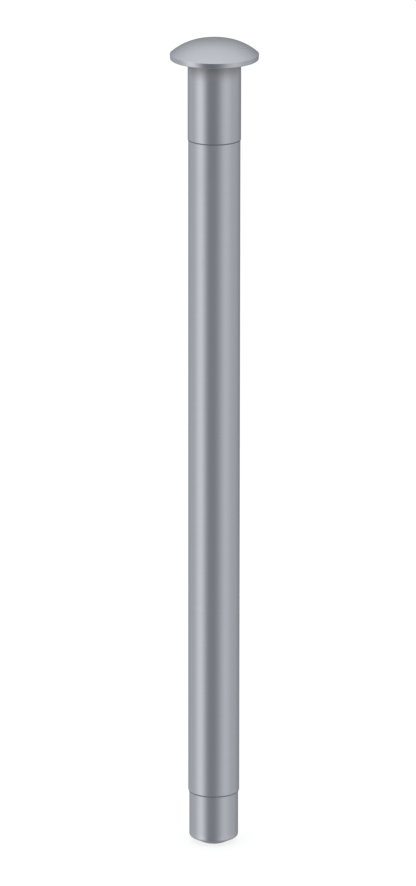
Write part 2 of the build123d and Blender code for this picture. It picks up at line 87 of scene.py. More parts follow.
# ---- surfaces -----------------------------------------------------------------------------------
@dataclass
class Surface:
    """Vertices and quads of a skin, held as whole arrays."""

    vertices: np.ndarray
    quads: np.ndarray

    def __add__(self, other: "Surface") -> "Surface":
        """Both skins in one, the second's indices moved past the first's."""
        quads = np.vstack([self.quads, other.quads + len(self.vertices)])
        return Surface(np.vstack([self.vertices, other.vertices]), quads)

    def welded(self) -> tuple[np.ndarray, list[list[int]]]:
        """Merges vertices that coincide and drops the sides that this closes up.

        A quad with two equal neighbouring corners becomes a triangle, and one with more is left out.

        Returns:
            The merged vertices, and the faces as lists of indices.
        """
        keys = np.round(self.vertices / WELD).astype(np.int64)
        _, first, index = np.unique(keys, axis=0, return_index=True, return_inverse=True)
        quads = index.reshape(-1)[self.quads]
        equal = quads == np.roll(quads, -1, axis=1)
        count = equal.sum(axis=1)
        faces = quads[count == 0].tolist()
        for corner in range(4):
            closing = (count == 1) & equal[:, corner]
            faces += np.delete(quads[closing], corner, axis=1).tolist()
        return self.vertices[first], faces

    def to_object(self, name: str) -> bpy.types.Object:
        """Makes the mesh object, smooth except at its edges, with every face pointing out.

        Args:
            name: name of the new object and its mesh.

        Returns:
            The object, linked to the scene, at the origin.
        """
        vertices, faces = self.welded()
        mesh = bpy.data.meshes.new(name)
        mesh.from_pydata(vertices.tolist(), [], faces)
        mesh.validate()
        piece = bpy.data.objects.new(name, mesh)
        bpy.context.scene.collection.objects.link(piece)
        face_outwards(mesh)
        mesh.shade_smooth()
        mesh.set_sharp_from_angle(angle=math.radians(SHARP_ANGLE))
        return piece


def face_outwards(mesh: bpy.types.Mesh) -> None:
    """Turns the faces of a closed mesh so that all of them point out.

    Args:
        mesh: the mesh, changed in place.
    """
    working = bmesh.new()
    working.from_mesh(mesh)
    bmesh.ops.recalc_face_normals(working, faces=working.faces)
    working.to_mesh(mesh)
    working.free()


def grid_quads(rows: int, columns: int, close_rows: bool, close_columns: bool = True) -> np.ndarray:
    """Quads of a grid whose vertices are stored row by row.

    Args:
        rows: number of rows.
        columns: number of vertices in a row.
        close_rows: whether the last row joins the first.
        close_columns: whether each row is a ring.

    Returns:
        An array of vertex indices, four to a quad.
    """
    row = np.arange(rows if close_rows else rows - 1)
    column = np.arange(columns if close_columns else columns - 1)
    here, across = np.meshgrid(row, column, indexing="ij")
    below = (here + 1) % rows
    beside = (across + 1) % columns
    upper, lower = here * columns, below * columns
    corners = (upper + across, upper + beside, lower + beside, lower + across)
    return np.stack(corners, axis=-1).reshape(-1, 4)


def arc(centre: tuple[float, float], radius: float, start: float, end: float,
        steps: int = 12) -> np.ndarray:
    """Points of an arc: centre plus radius times the cosine and sine of evenly spaced angles.

    Args:
        centre: centre of the arc, as radius and height.
        radius: radius of the arc.
        start: first angle in degrees.
        end: last angle in degrees.
        steps: number of points.

    Returns:
        One row of radius and height for each point.
    """
    angle = np.radians(np.linspace(start, end, steps))
    return np.stack([centre[0] + radius * np.cos(angle), centre[1] + radius * np.sin(angle)], axis=1)


def outline(*stretches: Union[np.ndarray, Sequence[tuple[float, float]]]) -> np.ndarray:
    """Stretches of an outline, points and arcs, one after another."""
    return np.vstack([np.asarray(stretch, float).reshape(-1, 2) for stretch in stretches])


def rounded(corners: Sequence[tuple[float, float, float]], closed: bool = False,
            steps: int = 7) -> np.ndarray:
    """An outline through corners, each rounded by its own radius.

    At a corner of radius q whose sides meet at angle 2h, the arc starts and ends q / tan h from the
    corner, and its centre lies q / sin h from the corner on the line that halves the angle.

    Args:
        corners: radius, height and rounding radius of each corner.
        closed: whether the outline is a loop; if not, its two ends stay sharp.
        steps: points of each arc.

    Returns:
        One row of radius and height for each point.
    """
    places = np.array([corner[:2] for corner in corners])
    stretches = []
    for index, (*_, radius) in enumerate(corners):
        here = places[index]
        at_end = not closed and index in (0, len(corners) - 1)
        if radius == 0 or at_end:
            stretches.append(here[None])
            continue
        before = unit(places[index - 1] - here)
        after = unit(places[(index + 1) % len(corners)] - here)
        half = 0.5 * math.acos(float(np.clip(before @ after, -1, 1)))
        centre = here + unit(before + after) * radius / math.sin(half)
        first, last = (here + side * radius / math.tan(half) - centre for side in (before, after))
        start = math.atan2(first[1], first[0])
        turn = (math.atan2(last[1], last[0]) - start + math.pi) % (2 * math.pi) - math.pi
        angle = start + turn * np.linspace(0, 1, steps)
        stretches.append(centre + radius * np.stack([np.cos(angle), np.sin(angle)], axis=1))
    return np.vstack(stretches)


def unit(vector: np.ndarray) -> np.ndarray:
    """The vector at length one."""
    return vector / np.linalg.norm(vector)


def around(profile: np.ndarray, closed: bool = True) -> Surface:
    """A profile carried once around the post axis.

    The point at angle a on row (r, h) is x = r cos a, y = r sin a, z = h, and the first column is at
    the rear. Rows of radius zero weld into a pole.

    Args:
        profile: rows of radius and height.
        closed: whether the profile is a loop, as in a ring.

    Returns:
        The surface of revolution.
    """
    angle = np.radians(REAR) + np.linspace(0, 2 * np.pi, SEGMENTS, endpoint=False)
    radius = profile[:, :1]
    height = np.broadcast_to(profile[:, 1:], (len(profile), SEGMENTS))
    vertices = np.stack([radius * np.cos(angle), radius * np.sin(angle), height], axis=-1)
    return Surface(vertices.reshape(-1, 3), grid_quads(len(profile), SEGMENTS, closed))


def ring(corners: Sequence[tuple[float, float, float]]) -> Surface:
    """A ring round the post axis whose section has these rounded corners."""
    return around(rounded(corners, closed=True))


@dataclass(frozen=True)
class Port:
    """A round hole in the rear of a tube wall, and the patch of wall that is rebuilt round it."""

    height: float
    radius: float
    half_columns: int = 21
    rows: int = 24
    rings: int = 8
    margin: float = 3 * MM

    def rim(self, wall: float) -> np.ndarray:
        """Corners of the patch's outer edge on a wall, as side and height, one for each grid vertex.

        Args:
            wall: radius of the wall.

        Returns:
            One row of side and height for each vertex.
        """
        step = 2 * np.pi / SEGMENTS
        reach = self.radius + self.margin
        columns = np.arange(-self.half_columns, self.half_columns)
        sides = -wall * np.sin(columns * step)
        corner = wall * np.sin(self.half_columns * step)
        drops = reach - 2 * reach * np.arange(self.rows) / self.rows
        top = np.stack([sides, np.full_like(sides, reach)], axis=1)
        down = np.stack([np.full_like(drops, -corner), drops], axis=1)
        return np.vstack([top, down, -top, -down])

    def circle(self, wall: float) -> np.ndarray:
        """The hole's edge, each point in the direction of its point on the patch's outer edge."""
        rim = self.rim(wall)
        return self.radius * rim / np.linalg.norm(rim, axis=1, keepdims=True)

    def on_wall(self, points: np.ndarray, wall: float) -> np.ndarray:
        """Side and height put on the wall: y is the root of wall radius squared less side squared.

        Args:
            points: side and height, the height from the hole's middle.
            wall: radius of the wall.

        Returns:
            The points in space.
        """
        side = points[..., 0]
        depth = np.sqrt(wall**2 - side**2)
        return np.stack([side, depth, self.height + points[..., 1]], axis=-1)

    def patch(self, wall: float) -> Surface:
        """The wall between the hole and the patch's edge, blended evenly from one to the other.

        Args:
            wall: radius of the wall.

        Returns:
            The patch, open at the hole and at its edge.
        """
        share = np.linspace(0, 1, self.rings)[:, None, None]
        points = (1 - share) * self.circle(wall) + share * self.rim(wall)
        vertices = self.on_wall(points, wall).reshape(-1, 3)
        return Surface(vertices, grid_quads(self.rings, points.shape[1], False))

    def sleeve(self, outer: float, inner: float) -> Surface:
        """The side of the hole, from the outer wall to the inner one.

        Args:
            outer: radius of the outer wall.
            inner: radius of the inner wall.

        Returns:
            The side, open at both ends.
        """
        loops = [self.on_wall(self.circle(wall), wall) for wall in (outer, inner)]
        vertices = np.vstack(loops)
        return Surface(vertices, grid_quads(2, len(loops[0]), False))


def ported_wall(wall: float, low: float, high: float, ports: Sequence[Port]) -> Surface:
    """A round wall with holes at the rear, as a grid with a patch round each hole.

    Args:
        wall: radius of the wall.
        low: lowest height.
        high: highest height.
        ports: the holes, highest first.

    Returns:
        The wall, open at both ends and at the holes.
    """
    heights = [high]
    bands = []
    for port in ports:
        reach = port.radius + port.margin
        bands.append((len(heights), len(heights) + port.rows, port.half_columns))
        heights += list(port.height + reach - 2 * reach * np.arange(port.rows + 1) / port.rows)
    heights.append(low)
    profile = np.stack([np.full(len(heights), wall), heights], axis=1)
    full = around(profile, closed=False)
    row, column = np.divmod(np.arange(len(full.quads)), SEGMENTS)
    kept = np.ones(len(full.quads), bool)
    for first, last, half in bands:
        across = (column < half) | (column >= SEGMENTS - half)
        kept &= ~((row >= first) & (row < last) & across)
    result = Surface(full.vertices, full.quads[kept])
    for port in ports:
        result = result + port.patch(wall)
    return result


ON_SEAT = math.nan
Row = tuple[Union[float, np.ndarray], float]


def seated_turning(rows: Sequence[Row], seat: float, azimuth: float, height: float,
                   ring: bool = False) -> Surface:
    """A turned part that points out of a round wall and is shaped to it where it sits.

    At angle p a row of radius r lies at distance d from the post axis, r cos p to the side and r sin p
    up. A row on the seat has d = root of seat squared less the side squared.

    Args:
        rows: radius, one number or one for each angle, and distance from the post axis or ON_SEAT.
        seat: radius of the wall.
        azimuth: direction of the part from the post axis, in degrees from +X.
        height: height of its axis.
        ring: whether the rows are a loop, as in a bush.

    Returns:
        The closed surface.
    """
    phase = np.linspace(0, 2 * np.pi, BOSS_SEGMENTS, endpoint=False)
    radius = np.stack([np.broadcast_to(np.asarray(row[0], float), phase.shape) for row in rows])
    given = np.array([row[1] for row in rows], float)[:, None]
    side = radius * np.cos(phase)
    reach = np.where(np.isnan(given), np.sqrt(seat**2 - side**2), given)
    out = np.array([math.cos(math.radians(azimuth)), math.sin(math.radians(azimuth)), 0.0])
    sideways = np.array([out[1], -out[0], 0.0])
    up = np.array([0.0, 0.0, 1.0])
    lift = height + radius * np.sin(phase)
    vertices = reach[..., None] * out + side[..., None] * sideways + lift[..., None] * up
    return Surface(vertices.reshape(-1, 3), grid_quads(len(rows), BOSS_SEGMENTS, ring))


def as_rows(points: np.ndarray) -> list[Row]:
    """An outline's points as rows for a seated turning."""
    return [(float(radius), float(reach)) for radius, reach in points]


# ---- shader helpers and shared node groups ------------------------------------------------------
class Graph:
    """A thin hand for adding and linking nodes in one tree."""

    def __init__(self, tree: bpy.types.NodeTree) -> None:
        """Keeps the tree."""
        self.tree = tree

    def add(self, kind: str, **settings: object) -> bpy.types.Node:
        """Adds a node.

        Args:
            kind: node type.
            settings: attributes to set, and under "inputs" the socket values, by name or number.

        Returns:
            The node.
        """
        inputs = settings.pop("inputs", {})
        node = self.tree.nodes.new(kind)
        for name, value in settings.items():
            setattr(node, name, value)
        for name, value in inputs.items():
            if isinstance(value, bpy.types.NodeSocket):
                self.tree.links.new(value, node.inputs[name])
            else:
                node.inputs[name].default_value = value
        return node

    def math(self, operation: str, first: object, second: object = 0.0) -> bpy.types.NodeSocket:
        """One arithmetic step, returning its output."""
        return self.add("ShaderNodeMath", operation=operation, inputs={0: first, 1: second}).outputs[0]

    def times(self, first: object, second: object) -> bpy.types.NodeSocket:
        """The product."""
        return self.math("MULTIPLY", first, second)

    def plus(self, first: object, second: object) -> bpy.types.NodeSocket:
        """The sum."""
        return self.math("ADD", first, second)

    def less(self, first: object, second: object) -> bpy.types.NodeSocket:
        """The first value less the second."""
        return self.math("SUBTRACT", first, second)

    def feed(self, node: bpy.types.Node, **values: bpy.types.NodeSocket) -> None:
        """Links values into a node's inputs, by name with spaces written as underscores."""
        for name, value in values.items():
            self.tree.links.new(value, node.inputs[name.replace("_", " ")])

    def ramp(self, value: object, low: float, high: float, to_low: float = 0.0,
             to_high: float = 1.0) -> bpy.types.NodeSocket:
        """A clamped straight line from (low, to_low) to (high, to_high)."""
        inputs = {"Value": value, "From Min": low, "From Max": high, "To Min": to_low, "To Max": to_high}
        return self.add("ShaderNodeMapRange", inputs=inputs).outputs["Result"]

    def effect(self, effect: "Effect", **inputs: object) -> bpy.types.NodeOutputs:
        """Places a shared node group with its own values, and returns its outputs."""
        return self.add("ShaderNodeGroup", node_tree=effect.tree(), inputs=inputs).outputs

    def apart(self, vector: object) -> bpy.types.NodeOutputs:
        """The X, Y and Z of a vector."""
        return self.add("ShaderNodeSeparateXYZ", inputs={0: vector}).outputs

    def scaled(self, vector: object, factors: object) -> bpy.types.NodeSocket:
        """A vector times another, part by part."""
        inputs = {0: vector, 1: factors}
        return self.add("ShaderNodeVectorMath", operation="MULTIPLY", inputs=inputs).outputs[0]

    def near(self, away: object, reach: object) -> bpy.types.NodeSocket:
        """1 where a signed distance is 0, falling evenly to 0 at the reach on either side."""
        share = self.math("DIVIDE", self.math("ABSOLUTE", away), reach)
        return self.math("MAXIMUM", self.less(1.0, share), 0.0)

    def smooth(self, value: object, low: object, high: object) -> bpy.types.NodeSocket:
        """A clamped smooth step from 0 at low to 1 at high.

        Args:
            value: the value.
            low: where the step starts.
            high: where it ends.

        Returns:
            The step.
        """
        inputs = {"Value": value, "From Min": low, "From Max": high}
        node = self.add("ShaderNodeMapRange", interpolation_type="SMOOTHSTEP", inputs=inputs)
        return node.outputs["Result"]

    def noise(self, place: object, scale: object, detail: float = 2.0,
              roughness: float = 0.5) -> bpy.types.NodeSocket:
        """Smooth random values between 0 and 1."""
        inputs = {"Vector": place, "Scale": scale, "Detail": detail, "Roughness": roughness}
        return self.add("ShaderNodeTexNoise", inputs=inputs).outputs["Fac"]

    def bump(self, height: object, strength: float, depth: float) -> bpy.types.NodeSocket:
        """The normal of a surface with this relief."""
        inputs = {"Strength": strength, "Distance": depth, "Height": height}
        return self.add("ShaderNodeBump", inputs=inputs).outputs["Normal"]

    def blend(self, share: object, first: object, second: object) -> bpy.types.NodeSocket:
        """A blend of two values."""
        return self.plus(first, self.times(share, self.less(second, first)))

    def mix(self, share: object, first: object, second: object) -> bpy.types.NodeSocket:
        """A blend of two colours.

        Args:
            share: share of the second colour.
            first: the first colour.
            second: the second colour.

        Returns:
            The colour.
        """
        node = self.add("ShaderNodeMix", data_type="RGBA")
        for index, value in ((0, share), (6, first), (7, second)):
            if isinstance(value, bpy.types.NodeSocket):
                self.tree.links.new(value, node.inputs[index])
            else:
                node.inputs[index].default_value = value
        return node.outputs[2]


VECTOR = "NodeSocketVector"
FLOAT = "NodeSocketFloat"
PLACE = ("Place", VECTOR, None)
Sockets = dict[str, bpy.types.NodeSocket]
Filling = Callable[[Graph, bpy.types.NodeOutputs], Sockets]


@dataclass(frozen=True)
class Effect:
    """A shared node group: its inputs, and the function that makes its float outputs from them."""

    name: str
    filling: Filling
    extras: tuple[tuple[str, str, object], ...]
    outputs: tuple[str, ...] = ("Mask",)

    def tree(self) -> bpy.types.NodeTree:
        """The group, made when it is first asked for.

        Returns:
            The group.
        """
        if self.name in bpy.data.node_groups:
            return bpy.data.node_groups[self.name]
        tree = bpy.data.node_groups.new(self.name, "ShaderNodeTree")
        for name, kind, default in (PLACE, *self.extras):
            socket = tree.interface.new_socket(name=name, in_out="INPUT", socket_type=kind)
            if default is not None:
                socket.default_value = default
        for name in self.outputs:
            tree.interface.new_socket(name=name, in_out="OUTPUT", socket_type=FLOAT)
        graph = Graph(tree)
        made = self.filling(graph, graph.add("NodeGroupInput").outputs)
        graph.feed(graph.add("NodeGroupOutput"), **made)
        return tree


def fill_ground_lines(graph: Graph, given: bpy.types.NodeOutputs) -> Sockets:
    """Fine parallel grinding lines: noise on coordinates that are stretched along the lines.

    Two line sizes are added, and a slow drift makes some stretches stronger than others.

    Args:
        graph: the group's graph.
        given: the outputs of the group's input node.

    Returns:
        Tone, and Height for the relief, both between 0 and 1.
    """
    along = graph.scaled(given["Place"], given["Stretch"])
    coarse = graph.noise(along, 0.35, 3.0, 0.6)
    fine = graph.noise(along, 1.0, 4.0, 0.65)
    patchy = graph.noise(given["Place"], 14.0, 2.0, 0.5)
    lines = graph.plus(graph.times(coarse, 0.45), graph.times(fine, 0.55))
    gain = graph.plus(graph.times(graph.less(patchy, 0.5), given["Drift"]), 1.0)
    tone = graph.plus(graph.times(graph.less(lines, 0.5), gain), 0.5)
    return {"Tone": tone, "Height": graph.ramp(tone, 0.25, 0.75)}


def fill_smudges(graph: Graph, given: bpy.types.NodeOutputs) -> Sockets:
    """Hand marks and rain marks: slow noise squeezed so that most of the surface stays clean.

    Args:
        graph: the group's graph.
        given: the outputs of the group's input node.

    Returns:
        The mask between 0 and 1.
    """
    scale = graph.math("DIVIDE", 1.0, given["Size"])
    broad = graph.noise(given["Place"], scale, 5.0, 0.62)
    threshold = graph.less(0.75, graph.times(given["Cover"], 0.5))
    return {"Mask": graph.ramp(graph.less(broad, threshold), 0.0, 0.22)}


def fill_scratches(graph: Graph, given: bpy.types.NodeOutputs) -> Sockets:
    """Thin stray scratches: the level lines of a stretched, tilted noise, broken by a second noise.

    Args:
        graph: the group's graph.
        given: the outputs of the group's input node.

    Returns:
        The mask between 0 and 1.
    """
    tilt = {"Vector": given["Place"], "Rotation": (0.9, 0.35, 0.5)}
    turned = graph.add("ShaderNodeVectorRotate", rotation_type="EULER_XYZ", inputs=tilt).outputs[0]
    scale = graph.math("DIVIDE", 1.0, given["Spacing"])
    field = graph.noise(graph.scaled(turned, (1.0, 0.08, 1.0)), scale, 1.0)
    line = graph.near(graph.less(field, 0.5), given["Width"])
    breaks = graph.ramp(graph.noise(given["Place"], 45.0, 1.0), 0.55, 0.7)
    return {"Mask": graph.times(line, breaks)}


def fill_painted_shade(graph: Graph, given: bpy.types.NodeOutputs) -> Sockets:
    """Painted shade under the head: a dull darkening, full at the given height and gone a reach below it.

    Args:
        graph: the group's graph.
        given: the outputs of the group's input node.

    Returns:
        The mask between 0 and 1.
    """
    height = graph.apart(given["Place"])["Z"]
    rise = graph.smooth(height, graph.less(given["Height"], given["Reach"]), given["Height"])
    patchy = graph.ramp(graph.noise(given["Place"], 70.0, 3.0), 0.3, 0.7, 0.88, 1.0)
    return {"Mask": graph.times(rise, patchy)}


def fill_rubbed_band(graph: Graph, given: bpy.types.NodeOutputs) -> Sockets:
    """Wear in a band of heights: full at the given height, fading over the reach, broken by noise.

    Args:
        graph: the group's graph.
        given: the outputs of the group's input node.

    Returns:
        The mask between 0 and 1.
    """
    height = graph.apart(given["Place"])["Z"]
    band = graph.near(graph.less(height, given["Height"]), given["Reach"])
    uneven = graph.ramp(graph.noise(given["Place"], 160.0, 3.0), 0.35, 0.65)
    return {"Mask": graph.times(band, uneven)}


GROUND_LINES = Effect(
    "ground lines", fill_ground_lines, (("Stretch", VECTOR, (1.0, 1.0, 1.0)), ("Drift", FLOAT, 0.5)),
    ("Tone", "Height"),
)
SMUDGES = Effect("smudges", fill_smudges, (("Size", FLOAT, 0.03), ("Cover", FLOAT, 0.3)))
SCRATCHES = Effect("scratches", fill_scratches, (("Spacing", FLOAT, 0.02), ("Width", FLOAT, 0.004)))
RUBBED_BAND = Effect("rubbed band", fill_rubbed_band, (("Height", FLOAT, 0.0), ("Reach", FLOAT, 0.004)))
# The painted shade below the head, as a shared group.
PAINTED_SHADE = Effect("painted shade under head", fill_painted_shade, (("Height", FLOAT, 0.0), ("Reach", FLOAT, 0.03)))


# ---- finishes -----------------------------------------------------------------------------------
Colour = tuple[float, float, float]


class Lay(Enum):
    """Which way the lines of a ground finish run, as the stretch of its noise on X, Y and Z."""

    AROUND = (14.0, 14.0, 5200.0)
    RINGS = (9.0, 9.0, 9.0)


def new_material(name: str) -> tuple[bpy.types.Material, Graph, bpy.types.Node]:
    """An empty material with a Principled shader.

    Args:
        name: the material's name.

    Returns:
        The material, its graph and the shader node.
    """
    material = bpy.data.materials.new(name)
    material.use_nodes = True
    material.node_tree.nodes.clear()
    graph = Graph(material.node_tree)
    shader = graph.add("ShaderNodeBsdfPrincipled")
    graph.add("ShaderNodeOutputMaterial", inputs={"Surface": shader.outputs["BSDF"]})
    return material, graph, shader


def rgba(colour: Colour) -> tuple[float, float, float, float]:
    """A colour with full alpha."""
    return (*colour, 1.0)


@dataclass(frozen=True)
class GroundSteel:
    """Satin steel, finely ground: lines in tone, roughness and relief, smudges, stray scratches; optionally
    rubbed wear and painted shade.
    """

    name: str
    colour: Colour = (0.598, 0.610, 0.640)
    dark: Colour = (0.540, 0.552, 0.580)
    lay: Lay = Lay.AROUND
    roughness: float = 0.37
    line_roughness: float = 0.04
    line_depth: float = 4e-6
    relief_strength: float = 0.6
    anisotropy: float = 0.8
    rotation: float = 0.25
    smudge_size: float = 0.06
    smudge_rough: float = 0.05
    scratch_rough: float = 0.12
    scratch_relief: float = 0.8
    ring_density: float = 560.0
    ring_lean: float = -0.6
    rub_height: float = 0.0
    rub_reach: float = 0.0
    rub_colour: Colour = (0.66, 0.67, 0.69)
    rub_share: float = 0.5
    rub_polish: float = 0.08
    # Painted shade under the head: where it is full, its reach, its dark colour, and how much it darkens,
    # dulls and takes away the metal.
    painted_shade_height: float = 0.0
    painted_shade_reach: float = 0.0
    painted_shade_colour: Colour = (0.186, 0.184, 0.186)
    painted_shade_share: float = 0.66
    painted_shade_rough: float = 0.05
    painted_shade_matt: float = 0.3

    def place(self, graph: Graph) -> tuple[bpy.types.NodeSocket, bpy.types.NodeSocket]:
        """The plain object coordinate, and the one that the lines follow.

        On turned faces the lines are rings: the second coordinate has the distance from the post axis,
        scaled up, as its Z, and a little of X and Y.

        Args:
            graph: the material's graph.

        Returns:
            The two coordinates.
        """
        plain = graph.add("ShaderNodeTexCoord").outputs["Object"]
        if self.lay is not Lay.RINGS:
            return plain, plain
        parts = graph.apart(plain)
        flat = graph.scaled(plain, (1.0, 1.0, 0.0))
        length = graph.add("ShaderNodeVectorMath", operation="LENGTH", inputs={0: flat}).outputs["Value"]
        leaning = graph.plus(length, graph.times(parts["Z"], self.ring_lean))
        inputs = {"X": parts["X"], "Y": parts["Y"], "Z": graph.times(leaning, self.ring_density)}
        return plain, graph.add("ShaderNodeCombineXYZ", inputs=inputs).outputs[0]

    def material(self) -> bpy.types.Material:
        """The finish as a material.

        Returns:
            The material.
        """
        material, graph, shader = new_material(self.name)
        plain, along = self.place(graph)
        lines = graph.effect(GROUND_LINES, Place=along, Stretch=self.lay.value)
        marks = graph.effect(SMUDGES, Place=plain, Size=self.smudge_size)
        stray = graph.effect(SCRATCHES, Place=plain)
        tone = graph.ramp(lines["Tone"], 0.3, 0.7)
        colour = graph.mix(tone, rgba(self.dark), rgba(self.colour))
        rougher = self.roughness + self.line_roughness
        rough = graph.ramp(lines["Tone"], 0.3, 0.7, rougher, self.roughness)
        rough = graph.plus(rough, graph.times(marks["Mask"], self.smudge_rough))
        rough = graph.plus(rough, graph.times(stray["Mask"], self.scratch_rough))
        if self.rub_reach > 0:
            band = {"Height": self.rub_height, "Reach": self.rub_reach}
            rub = graph.effect(RUBBED_BAND, Place=plain, **band)["Mask"]
            rough = graph.less(rough, graph.times(rub, self.rub_polish))
            colour = graph.mix(graph.times(rub, self.rub_share), colour, rgba(self.rub_colour))
        # Painted shade under the head: darker, rougher and less metallic towards the given height.
        if self.painted_shade_reach > 0:
            band = {"Height": self.painted_shade_height, "Reach": self.painted_shade_reach}
            shade_mask = graph.effect(PAINTED_SHADE, Place=plain, **band)["Mask"]
            rough = graph.plus(rough, graph.times(shade_mask, self.painted_shade_rough))
            colour = graph.mix(graph.times(shade_mask, self.painted_shade_share), colour, rgba(self.painted_shade_colour))
            graph.feed(shader, Metallic=graph.less(1.0, graph.times(shade_mask, self.painted_shade_matt)))
        relief = graph.less(lines["Height"], graph.times(stray["Mask"], self.scratch_relief))
        normal = graph.bump(relief, self.relief_strength, self.line_depth)
        graph.feed(shader, Base_Color=colour, Roughness=rough, Normal=normal)
        shader.inputs["Metallic"].default_value = 1.0
        shader.inputs["Anisotropic"].default_value = self.anisotropy
        shader.inputs["Anisotropic Rotation"].default_value = self.rotation
        return material


@dataclass(frozen=True)
class FittingMetal:
    """Small turned, plated or hardened fittings: mottled tone, fine pits and smudged gloss."""

    name: str
    colour: Colour
    dark: Colour
    roughness: float = 0.32
    grain: float = 900.0
    pit_depth: float = 6e-6
    relief_strength: float = 0.5
    mottle_dull: float = 0.06
    mottle_bright: float = 0.03
    smudge_size: float = 0.012
    smudge_rough: float = 0.12
    scratch_spacing: float = 0.006

    def material(self) -> bpy.types.Material:
        """The finish as a material.

        Returns:
            The material.
        """
        material, graph, shader = new_material(self.name)
        place = graph.add("ShaderNodeTexCoord").outputs["Object"]
        mottle = graph.noise(place, self.grain * 0.12, 3.0, 0.6)
        pits = graph.noise(place, self.grain, 2.0, 0.6)
        marks = graph.effect(SMUDGES, Place=place, Size=self.smudge_size)
        stray = graph.effect(SCRATCHES, Place=place, Spacing=self.scratch_spacing)
        colour = graph.mix(graph.ramp(mottle, 0.3, 0.7), rgba(self.dark), rgba(self.colour))
        dull, bright = self.roughness + self.mottle_dull, self.roughness - self.mottle_bright
        rough = graph.ramp(mottle, 0.3, 0.7, dull, bright)
        rough = graph.plus(rough, graph.times(marks["Mask"], self.smudge_rough))
        relief = graph.less(pits, stray["Mask"])
        normal = graph.bump(relief, self.relief_strength, self.pit_depth)
        graph.feed(shader, Base_Color=colour, Roughness=rough, Normal=normal)
        shader.inputs["Metallic"].default_value = 1.0
        return material


@dataclass(frozen=True)
class MouldedRubber:
    """Rubber, matt, with a fine grain and a pale bloom."""

    name: str
    colour: Colour = (0.022, 0.022, 0.024)
    bloom: Colour = (0.06, 0.06, 0.062)
    grain_depth: float = 2e-5
    relief_strength: float = 0.4

    def material(self) -> bpy.types.Material:
        """The finish as a material.

        Returns:
            The material.
        """
        material, graph, shader = new_material(self.name)
        place = graph.add("ShaderNodeTexCoord").outputs["Object"]
        grain = graph.noise(place, 1800.0, 3.0, 0.6)
        cloud = graph.noise(place, 60.0, 3.0, 0.55)
        colour = graph.mix(graph.ramp(cloud, 0.45, 0.75), rgba(self.colour), rgba(self.bloom))
        rough = graph.ramp(cloud, 0.3, 0.7, 0.62, 0.78)
        normal = graph.bump(grain, self.relief_strength, self.grain_depth)
        graph.feed(shader, Base_Color=colour, Roughness=rough, Normal=normal)
        return material


# ---- places taken from the CAD nodes -------------------------------------------------------------
def span(node: str) -> tuple[float, float]:
    """Lowest and highest point of a CAD node."""
    low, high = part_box(node)
    return low.z, high.z


def level(node: str) -> float:
    """Height of the middle of a CAD node."""
    return sum(span(node)) / 2


def girth(node: str) -> float:
    """Radius of a CAD node that is round about the post axis."""
    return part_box(node)[1].x


def spigot_bore() -> float:
    """Radius of the inside of the spigot."""
    return girth("spigot_tube") - SPIGOT_WALL


def back(node: str) -> float:
    """Rearmost point of a CAD node."""
    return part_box(node)[1].y


def front(node: str) -> float:
    """Foremost point of a CAD node."""
    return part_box(node)[0].y


@dataclass
class SubAssembly:
    """Pieces that belong together: it makes each, dresses it and says what it stands for."""

    finish: Union[GroundSteel, FittingMetal]

    def __post_init__(self) -> None:
        """Makes the finish's material once for all the pieces."""
        self.material = self.finish.material()

    def place(self, surface: Surface, node: str, slot: str, body: str = POST,
              material: Optional[bpy.types.Material] = None) -> bpy.types.Object:
        """Makes a piece that stands for one CAD node.

        Args:
            surface: the piece's skin.
            node: CAD node that it replaces, and the stem of its name.
            slot: the record's material slot; not used.
            body: body that it rides on.
            material: its material, if not the sub-assembly's own.

        Returns:
            The piece.
        """
        piece = surface.to_object(f"{node}_skin")
        piece.data.materials.append(material or self.material)
        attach(piece, body)
        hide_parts(node)
        log.info("%s: %d faces on body %s, stands for %s", piece.name, len(piece.data.polygons), body, node)
        return piece


# ---- main tube and its seals --------------------------------------------------------------------
@dataclass
class Post(SubAssembly):
    """The main tube, its lower edge rounded, and the rubber gasket that seals its foot."""

    wall: float = 1.5 * MM
    end_round: float = 1.3 * MM
    port_radius: float = 16.1 * MM
    groove_radius: float = 35.75 * MM
    face_radius: float = 36.6 * MM
    lip_bottom: float = 0.5 * MM
    gasket_edge: float = 0.25 * MM
    rubber: MouldedRubber = MouldedRubber("gasket_rubber_grey", (0.15, 0.15, 0.155), (0.20, 0.20, 0.205))

    def tube(self) -> Surface:
        """The tube: plain outside and inside, with the lock's port through its rear.

        Returns:
            The closed surface.
        """
        low, high = span("post_tube")
        outer, bore = girth("post_tube"), girth("post_tube") - self.wall
        port = Port(level("stop_pin"), self.port_radius)
        foot = rounded([(outer, low + 2 * self.end_round, 0), (outer, low, self.end_round), (bore, low, 0)])
        walls = ported_wall(outer, foot[0, 1], high, [port]) + ported_wall(bore, low, high, [port])
        ends = around(foot, False) + around(np.array([[bore, high], [outer, high]]), False)
        return walls + ends + port.sleeve(outer, bore)

    def gasket(self) -> Surface:
        """The seal under the tube: a flat ring, and a lip that holds in the spigot's groove.

        Returns:
            The closed surface.
        """
        low, high = span("shoulder_gasket")
        outer, edge = girth("shoulder_gasket"), self.gasket_edge
        corners = [
            (self.face_radius, low, edge), (outer, low, edge), (outer, high, edge / 2),
            (self.groove_radius, high, 0), (self.groove_radius, low + self.lip_bottom, 0),
            (self.face_radius, low + self.lip_bottom, 0),
        ]
        return ring(corners)

    def build(self) -> None:
        """Makes the tube and its gasket."""
        self.place(self.tube(), "post_tube", "post_steel")
        self.place(self.gasket(), "shoulder_gasket", "seal_rubber", material=self.rubber.material())


